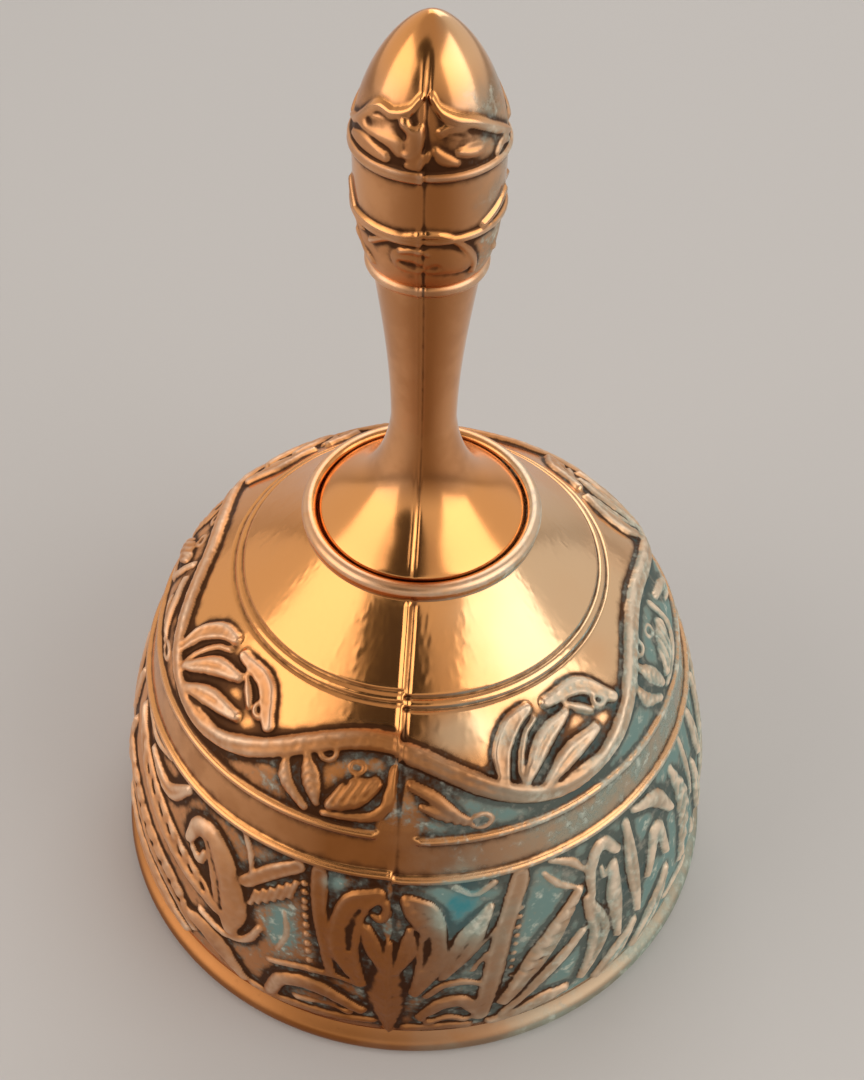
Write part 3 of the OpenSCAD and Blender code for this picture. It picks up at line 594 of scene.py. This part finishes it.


# Colours of the cast brass, in order: the brass; a paler gold for a painted cool highlight; the brass of
# outward faces and a dark brown, for painted shade and painted dark reflection; a blotchy tarnish brown; a
# deep brown for painted shade in hollows; a grey for haze with a painted cool sheen; the inside; two
# verdigris crusts; wet green verdigris; and a warm and a cool painted highlight.
red_gold, pale_gold = (0.98, 0.43, 0.14), (0.93, 0.62, 0.36)
side_brass, painted_dark_brown = (0.86, 0.43, 0.20), (0.27, 0.09, 0.022)
dull_brown, recess_shade_brown = (0.34, 0.12, 0.035), (0.06, 0.022, 0.010)
haze_and_sheen_grey, inside_brown = (0.44, 0.47, 0.38), (0.34, 0.20, 0.09)
crust_deep, crust_pale = (0.16, 0.29, 0.27), (0.62, 0.68, 0.58)
wet_green = (0.02, 0.25, 0.29)
warm_highlight, cool_highlight = (0.97, 0.64, 0.42), (0.84, 0.69, 0.52)


def cast_brass(name):
    """Brass painted lighter where it faces up and darker where it faces out, as painted shade, with painted
    dark reflections front and back, painted shade in its hollows, a pale painted highlight along its ridges
    and a painted cool light on its right side; green and grey verdigris lies on the ground of the carving."""
    material, base = new_finish(name)
    place = base.node("ShaderNodeTexCoord", out="Object")
    relief, hollow, crest, worked, damp, smoke, inner = (
        base.node("ShaderNodeAttribute", {"attribute_name": mark}, out="Fac")
        for mark in ("relief", "hollow", "crest", "worked", "damp", "smoke", "inner"))
    facing = base.node("ShaderNodeTexCoord", out="Normal")
    facing_up = base.node("ShaderNodeSeparateXYZ", None, {"Vector": facing}, "Z")

    def noise(scale, detail, rough=0.55):
        return base.node("ShaderNodeTexNoise", None,
                         {"Vector": place, "Scale": scale, "Detail": detail, "Roughness": rough}, "Fac")

    cloud = noise(38, 3).between(0.36, 0.64)
    blotch = noise(170, 4).between(0.40, 0.62)
    speck = noise(640, 4)
    grain = noise(1500, 2)
    low = (1 - relief).between(0.60, 0.90)
    # Faces that turn away from up are painted darker, as painted shade; worked ground counts mostly as such.
    outward = 1 - (facing_up + (cloud - 0.5) * 0.1).between(0.38, 0.66)
    outward = outward + (1 - outward) * worked * 0.7

    # On the right side the up-facing gold is painted paler, as a painted cool highlight.
    cool_lit_side = ((damp - 0.6) * 1.7 + (cloud - 0.5) * 0.3).between(0, 0.8)
    top_facing_gold = cool_lit_side.tint(red_gold, pale_gold)
    # Outward faces are painted dark brown front and back, as a painted dark reflection.
    side_shade_colour = (smoke * 0.95).tint(side_brass, painted_dark_brown)
    toned = (blotch * 0.35).tint(side_shade_colour, dull_brown)
    metal = (outward * 0.92).tint(top_facing_gold, toned)
    # Outward faces on the right turn grey: partly grey patina, partly a painted cool sheen.
    haze_and_sheen = ((damp - 0.5) * outward * (1.3 + blotch * 0.5)).between(0.05, 0.9)
    with_haze_and_sheen = haze_and_sheen.tint(metal, haze_and_sheen_grey)
    # Painted shade: the hollows of the carving are darkened towards a deep brown.
    recess_shade = ((hollow + (speck - 0.5) * 0.5) * (0.7 + worked * 0.6)).between(0.06, 0.44)
    recess_shaded = (recess_shade * 0.94).tint(with_haze_and_sheen, recess_shade_brown)

    coat = worked * (low * (0.46 + damp * 0.55) + damp * 0.35 - smoke * 0.3 - 0.14)
    coat = coat + (damp - 0.6) * outward * 0.9
    flecks = (speck - 0.5) * 1.1 + (grain - 0.5) * 0.9 + (blotch - 0.5) * 0.3
    verdigris = (coat + flecks).between(0.12, 0.88) * coat.between(0.0, 0.2) * (1 - inner)
    pale_crust = ((speck - 0.5) * 3.4 + (grain - 0.5) * 1.2 + relief * 0.8).between(0.1, 0.9)
    crust = pale_crust.tint(crust_deep, crust_pale)
    wet = ((damp - 0.85) * 1.3 + hollow * 0.7 - blotch * 0.4).between(0.2, 0.9)
    copper_green = wet.tint(crust, wet_green)
    coated = (verdigris * (0.92 - recess_shade * 0.55)).tint(recess_shaded, copper_green)

    # Painted highlight: a pale warm or cool edge along the tops of ridges.
    edge_highlight = crest * (0.3 + worked * 0.45) * (0.3 + speck + blotch * 0.3) * (1 - smoke * 0.65)
    highlighted = edge_highlight.between(0, 0.8).tint(coated, damp.tint(warm_highlight, cool_highlight))
    colour = inner.tint(highlighted, inside_brown)
    rough = 0.13 + grain * 0.05 + cloud * 0.04 + worked * 0.3 + recess_shade * 0.15 + verdigris * 0.3 + inner * 0.3
    height = noise(55, 2) * 0.4 + grain * (0.05 + worked * 0.2 + inner * 1.2) + speck * verdigris * 0.9
    bump = base.node("ShaderNodeBump", None, {"Strength": 0.4, "Distance": 0.0001, "Height": height})
    shader = base.node("ShaderNodeBsdfPrincipled", None, {
        "Base Color": colour, "Metallic": 1 - verdigris * 0.8 - inner * 0.2, "Roughness": rough,
        "Normal": bump})
    base.node("ShaderNodeOutputMaterial", None, {"Surface": shader})
    return material


cast_finish = cast_brass("cast_brass_finish")
bell_casting.data.materials.append(cast_finish)
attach(bell_casting, "bell")
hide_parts("bell_body")

# The handle: a brass casting from the same pattern, a flared foot on a waisted
# stem, and an egg-shaped grip with two ridges and hanging leaves. It is tapped
# up its foot for the eye bolt that clamps it to the crown.
top_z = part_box("handle")[1].z / MM
foot_r = 12.6
stem_low_z = crown_z + 15.5
stem_r = 3.8
collar_z = stem_low_z + 22.2
collar_r = 5.8
collar_bead_r = 0.8
bulb_r = 7.7
dome_z = collar_z + 13.3
ridge_z = (collar_z + 7.3, collar_z + 14.5)
ridge_r = 0.45
tapped_r = 2.05
tapped_z = crown_z + 13.5
GRIP_COLUMNS = 360

foot = np.vstack([
    [(0, tapped_z), (tapped_r * 0.5, tapped_z), (tapped_r, tapped_z)],
    walk([(tapped_r, tapped_z - 0.5), (tapped_r, crown_z + 0.3)], 1.5),
    walk([(tapped_r + 0.3, crown_z), (foot_r - 0.2, crown_z)], 1.2),
    [(foot_r, crown_z + 0.2), (foot_r, crown_z + 0.85)]])
flare = walk(bezier([(foot_r - 0.3, crown_z + 1.2), (foot_r - 3.1, crown_z + 3.8),
                     (stem_r + 0.8, stem_low_z - 9), (stem_r, stem_low_z)], 90), 0.35)
stem = walk(bezier([(stem_r, stem_low_z), (stem_r, stem_low_z + 7.5), (collar_r - 1, collar_z - 7.7),
                    (collar_r, collar_z - 0.8 * collar_bead_r)], 90), 0.4)
collar = arc((collar_r, collar_z), collar_bead_r, -60, 60, 12)
bulb = bezier([(collar_r + 0.4, collar_z + 0.6 * collar_bead_r), (bulb_r - 0.5, collar_z + 2.3),
               (bulb_r, collar_z + 5), (bulb_r, dome_z)], 120)
dome = bezier([(bulb_r, dome_z), (bulb_r, dome_z + 8.6), (2.1, top_z), (0, top_z)], 160)
grip = walk(np.vstack([bulb, dome[1:]]), 0.16)
grip_turn = np.arange(GRIP_COLUMNS) * 360 / GRIP_COLUMNS - 180
leaves = Relief(GRIP_COLUMNS, grip, grip[:, 1] - collar_z)

# Lower band: an oval boss under an arch at the front and the back, a leaf in a
# hollow on either side
leaves.carve([(-13, 4.7, 1.6), (8, 5.0, 2.0), (33, 4.2, 1.5)], "round", 0.22)
leaves.carve([(-17, 5.9, 0.3), (-6, 6.2, 0.4), (4, 5.9, 0.3)], height=0.38)
leaves.sink([(-16, 4.2, 0.5), (-9, 4.0, 0.8), (-3, 4.0, 0.5)], 0.2)
leaves.sink([(5, 3.8, 0.4), (10, 4.0, 0.6)], 0.1)
leaves.carve([(-46, 5.4, 0.3), (-26, 7.0, 0.42), (5, 8.0, 0.45), (26, 7.0, 0.42), (42, 4.2, 0.4),
              (44, 2.4, 0.3)], height=0.3)
leaves.carve([(48, 8.0, 0.4), (62, 8.8, 0.5), (78, 10.0, 0.4)], height=0.3)
leaves.sink([(48, 6.8, 0.7), (60, 5.4, 1.5), (72, 5.0, 0.8)], 0.28)
leaves.carve([(58, 7.6, 0.3), (66, 6.0, 0.6), (70, 3.6, 0.4)], "leaf", 0.25)
leaves.carve([(-80, 10, 0.3), (-66, 7.4, 0.5), (-54, 6.2, 0.3)], height=0.3)
leaves.sink([(-64, 5.6, 0.7), (-54, 4.6, 1.3), (-46, 4.0, 0.6)], 0.28)
leaves.carve([(-70, 4.8, 0.3), (-58, 3.8, 0.6), (-48, 2.4, 0.3)], "leaf", 0.22)

# Upper band: the cap's edge hangs down in two lobes a side, with a notch like
# an arrowhead between them on the seam, and curls under them
leaves.carve([(-84, 16.6, 0.35), (-66, 17.6, 0.5), (-46, 20.0, 0.5), (-28, 20.0, 0.5), (-12, 20.6, 0.5),
              (-5, 21.6, 0.35)], height=0.26)
leaves.carve([(84, 16.0, 0.35), (66, 17.4, 0.5), (44, 19.0, 0.6), (24, 19.8, 0.6), (9, 20.8, 0.5),
              (4, 21.8, 0.35)], height=0.3)
leaves.sink([(-9, 19.6, 0.5), (0, 20.8, 0.8), (9, 19.6, 0.5)], 0.25)
leaves.sink([(1, 23.0, 0.4), (1.6, 24.6, 0.3)], 0.22)
leaves.sink([(-50, 18.2, 0.6), (-30, 18.6, 0.8), (-16, 18.4, 0.5)], 0.16)
leaves.sink([(18, 18.4, 0.6), (34, 17.8, 1.1), (54, 16.8, 0.7)], 0.22)
leaves.carve([(-17, 19.4, 0.6), (-8, 18.6, 1.1), (-9, 16.8, 0.7), (-14, 16.6, 0.4)], height=0.32)
leaves.carve([(-62, 17.6, 0.5), (-44, 18.2, 1.1), (-26, 18.0, 1.2), (-18, 16.8, 0.6)], height=0.2)
leaves.carve([(-70, 15.8, 0.4), (-52, 16.2, 0.9), (-30, 15.8, 0.6)], "leaf", 0.24)
leaves.carve([(-12, 15.6, 0.4), (-5, 15.8, 0.7), (2, 16.8, 0.4)], height=0.24)
leaves.carve([(12, 19.0, 0.4), (24, 18.6, 1.0), (36, 18.0, 0.4)], "leaf", 0.28)
leaves.carve([(26, 16.9, 0.4), (38, 17.0, 0.9), (52, 16.8, 0.4)], "leaf", 0.28)
leaves.carve([(8, 17.2, 0.3), (14, 16.4, 0.6), (24, 15.8, 0.3)], height=0.22)
leaves.carve([(60, 15.2, 0.3), (70, 16.0, 0.6), (82, 15.2, 0.3)], "leaf", 0.22)
leaves.repeat(2)
leaf_stops = [0.8, 1.4, 6.9, 7.5, 14.3, 14.9, 18, 20.4]
leaf_ground = np.interp(leaves.ruler, leaf_stops, [0, 1, 1, 0, 0, 1, 1, 0])[:, None]
leaf_boldness = 1.6
grip_lift = leaf_boldness * soften(leaves.raised + leaves.cut, 2)
for ridge in ridge_z:
    away = np.abs(grip[:, 1] - ridge)[:, None] - 0.25 * (grip_turn < 0)
    grip_lift = np.maximum(grip_lift, np.sqrt(np.maximum(0, ridge_r ** 2 - away ** 2)))
grip_lift *= np.interp(leaves.up, [0, 0.5, leaves.up[-1] - 3, leaves.up[-1]], [0, 1, 1, 0])[:, None]

handle_outline = np.vstack([foot, flare, stem[1:], collar, grip[:-1], [(0, top_z)]])
handle_lift = np.zeros((len(handle_outline), GRIP_COLUMNS))
gripped = slice(len(handle_outline) - len(grip), len(handle_outline))
handle_lift[gripped] = grip_lift
reach = np.interp(handle_outline[:, 1], [crown_z + 0.8, crown_z + 2, collar_z, top_z - 5, top_z - 2],
                  [0, 1, 1, 1, 0])[:, None]
reach[:len(foot)] = 0
aside = np.radians(grip_turn) * handle_outline[:, :1]
behind = np.radians((grip_turn + 360) % 360 - 180) * handle_outline[:, :1]
seam = 0.08 * np.exp(-((aside + 0.4) / 0.25) ** 2) - 0.13 * np.exp(-((aside - 0.1) / 0.22) ** 2)
handle_lift += reach * (seam + 0.1 * np.exp(-(behind / 0.3) ** 2))
handle_worked = np.zeros(handle_lift.shape)
handle_worked[gripped] = 0.7 * leaf_ground
for ridge in ridge_z:
    handle_worked[gripped] += 0.6 * np.exp(-((grip[:, 1] - ridge) / 0.5) ** 2)[:, None]
# Crest places a painted highlight; the collar gets it all round.
handle_crest = np.clip((handle_lift - soften(handle_lift, 30)) / 0.3, 0, 1)
collar_start = len(foot) + len(flare) + len(stem) - 1
collar_rows = slice(collar_start, collar_start + len(collar))
handle_crest[collar_rows] = 0.8
handle_worked[collar_rows] = 0.6
handle_inner = np.zeros(handle_lift.shape)
handle_inner[:len(foot) - 2] = 1
handle_relief = np.full(handle_lift.shape, 0.5)
handle_relief[gripped] = np.clip(0.3 + grip_lift * 1.4, 0, 1)
handle_hollow = np.clip((soften(handle_lift, 30) - handle_lift) / 0.26, 0, 1)
# Shade is painted under the foot's rim through the hollow mark.
handle_hollow[len(foot) - 5:len(foot)] = 0.2
# Damp, and the cool light it paints on the right, grow towards the cap.
handle_damp_and_cool_light = np.interp(handle_outline[:, 1], [crown_z, collar_z, top_z], [0.5, 0.66, 0.88])[:, None]
# Painted dark reflection on the handle, front and back.
handle_painted_dark = np.exp(-((grip_turn - 8) / 34) ** 2) + np.exp(-((np.abs(grip_turn) - 172) / 34) ** 2)
handle_casting = turned_piece("handle_casting", handle_outline, handle_lift, False, {
    "relief": handle_relief, "hollow": handle_hollow, "crest": handle_crest, "worked": handle_worked,
    "damp": handle_damp_and_cool_light * (0.5 + 0.5 * np.cos(np.radians(grip_turn - 80))),
    "smoke": np.broadcast_to(handle_painted_dark, handle_lift.shape), "inner": handle_inner})
handle_casting.data.materials.append(cast_finish)
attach(handle_casting, "bell")
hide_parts("handle")

# Washer and nut, turned brass drawn up under the crown to clamp the handle, and
# the clapper's ball, turned from the same bar and riveted on its rod.
turned_gold, stained_brass = (0.78, 0.50, 0.22), (0.42, 0.24, 0.10)
material, base = new_finish("turned_brass_finish")
place = base.node("ShaderNodeTexCoord", out="Object")
rings = base.node("ShaderNodeTexWave", {"wave_type": "RINGS", "rings_direction": "Z"},
                  {"Vector": place, "Scale": 900, "Distortion": 0.6, "Detail": 2}, "Fac")
stain = base.node("ShaderNodeTexNoise", None, {"Vector": place, "Scale": 220, "Detail": 4}, "Fac")
dull = stain.between(0.4, 0.68)
bump = base.node("ShaderNodeBump", None,
                 {"Strength": 0.35, "Distance": 0.00004, "Height": rings + stain * 0.6})
shader = base.node("ShaderNodeBsdfPrincipled", None, {
    "Base Color": dull.tint(turned_gold, stained_brass), "Metallic": 1.0,
    "Roughness": 0.26 + dull * 0.2 + rings * 0.06, "Normal": bump})
base.node("ShaderNodeOutputMaterial", None, {"Surface": shader})
for name in ("crown_washer", "crown_nut", "clapper_ball"):
    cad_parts[name].data.materials.clear()
    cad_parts[name].data.materials.append(material)

# Eye bolt, link and rod: drawn and forged iron, dark, lightly oiled. The link is
# closed through the bolt's eye, and the rod's eye is bent round the link.
dark_iron, rust_brown = (0.20, 0.19, 0.18), (0.16, 0.07, 0.035)
material, base = new_finish("iron_finish")
place = base.node("ShaderNodeTexCoord", out="Object")
scale_marks = base.node("ShaderNodeTexNoise", None, {"Vector": place, "Scale": 500, "Detail": 5}, "Fac")
rust_cloud = base.node("ShaderNodeTexNoise", None, {"Vector": place, "Scale": 150, "Detail": 4}, "Fac")
rust = rust_cloud.between(0.5, 0.72)
bump = base.node("ShaderNodeBump", None, {"Strength": 0.5, "Distance": 0.00008, "Height": scale_marks})
shader = base.node("ShaderNodeBsdfPrincipled", None, {
    "Base Color": rust.tint(dark_iron, rust_brown), "Metallic": 1 - rust * 0.7,
    "Roughness": 0.36 + scale_marks * 0.2 + rust * 0.2, "Normal": bump})
base.node("ShaderNodeOutputMaterial", None, {"Surface": shader})
for name in ("eye_bolt", "clapper_link", "clapper_rod"):
    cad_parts[name].data.materials.clear()
    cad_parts[name].data.materials.append(material)

# The stage: a pale floor under the bell, two soft lamps in front to its left
# and right, one behind, and a pale room that is darker overhead, with a dark
# place high in front of the bell that its shoulder mirrors.
floor_half = 3
floor_mesh = bpy.data.meshes.new("floor")
floor_corners = [(x * floor_half, y * floor_half, 0) for x, y in ((-1, -1), (1, -1), (1, 1), (-1, 1))]
floor_mesh.from_pydata(floor_corners, [], [(0, 1, 2, 3)])
floor = bpy.data.objects.new("floor", floor_mesh)
bpy.context.scene.collection.objects.link(floor)
material, base = new_finish("floor_paper")
shader = base.node("ShaderNodeBsdfPrincipled", None, {"Base Color": (0.66, 0.64, 0.62), "Roughness": 0.9})
base.node("ShaderNodeOutputMaterial", None, {"Surface": shader})
floor.data.materials.append(material)

bell_middle = Vector((0, 0, 0.06))


def lamp(name, azimuth, elevation, away, size, power, colour):
    """A soft square lamp that faces the middle of the bell. Azimuth 0 is over
    the viewer's head, and turns to the right."""
    turned, raised = math.radians(azimuth), math.radians(elevation)
    out = math.cos(raised)
    way = Vector((math.sin(turned) * out, -math.cos(turned) * out, math.sin(raised)))
    light = bpy.data.lights.new(name, "AREA")
    light.shape = "SQUARE"
    light.size = size
    light.energy = power
    light.color = colour
    stand = bpy.data.objects.new(name, light)
    stand.location = bell_middle + away * way
    stand.rotation_euler = way.to_track_quat("Z", "Y").to_euler()
    bpy.context.scene.collection.objects.link(stand)


lamp("left_lamp", -66, 28, away=0.5, size=0.42, power=0.66, colour=(1, 0.93, 0.86))
lamp("right_lamp", 66, 34, away=0.5, size=0.42, power=0.78, colour=(1, 0.97, 0.93))
lamp("back_lamp", 175, 40, away=0.6, size=0.42, power=0.7, colour=(1, 1, 1))

world = bpy.data.worlds.new("studio")
bpy.context.scene.world = world
world.use_nodes = True
world.node_tree.nodes.clear()
sky = Strand(world.node_tree)
direction = sky.node("ShaderNodeTexCoord", out="Generated")
height = sky.node("ShaderNodeSeparateXYZ", None, {"Vector": direction}, "Z")
shade = sky.node("ShaderNodeValToRGB", {"stops": [
    (0.0, (0.70, 0.68, 0.66)), (0.70, (0.64, 0.62, 0.60)), (0.84, (0.56, 0.53, 0.50)),
    (0.92, (0.40, 0.36, 0.33)), (1.0, (0.40, 0.36, 0.33))]}, {"Fac": height * 0.5 + 0.5})
dark_way = Vector((-0.25, -0.66, 0.708))
toward = sky.node("ShaderNodeVectorMath", {"operation": "DOT_PRODUCT"}, {0: direction, 1: dark_way}, "Value")
gloom = toward.between(0.92, 0.935)
room = (gloom * 0.93).tint(shade, (0.02, 0.015, 0.012))
glow = sky.node("ShaderNodeBackground", None, {"Color": room, "Strength": 1.0})
sky.node("ShaderNodeOutputWorld", None, {"Surface": glow})

# The camera stands where the photograph was taken, to the front and looking
# down on the bell. Its place is in metres and its angles are in radians.
camera_at = (0.00874, -0.1282, 0.19235)
pitch, yaw, roll = 0.81927, -0.05731, 0.030488
camera_data = bpy.data.cameras.new("camera")
camera_data.lens = 50
camera_data.sensor_width = 36
camera_data.clip_start = 0.01
camera = bpy.data.objects.new("camera", camera_data)
bpy.context.scene.collection.objects.link(camera)
ahead = Vector((math.sin(yaw) * math.cos(pitch), math.cos(yaw) * math.cos(pitch), -math.sin(pitch)))
level = Vector((math.cos(yaw), -math.sin(yaw), 0))
over = level.cross(ahead)
right = math.cos(roll) * level + math.sin(roll) * over
top = -math.sin(roll) * level + math.cos(roll) * over
facing = Matrix((right, top, -ahead)).transposed().to_4x4()
camera.matrix_world = Matrix.Translation(camera_at) @ facing
bpy.context.scene.camera = camera
bpy.context.scene.view_settings.view_transform = "Standard"
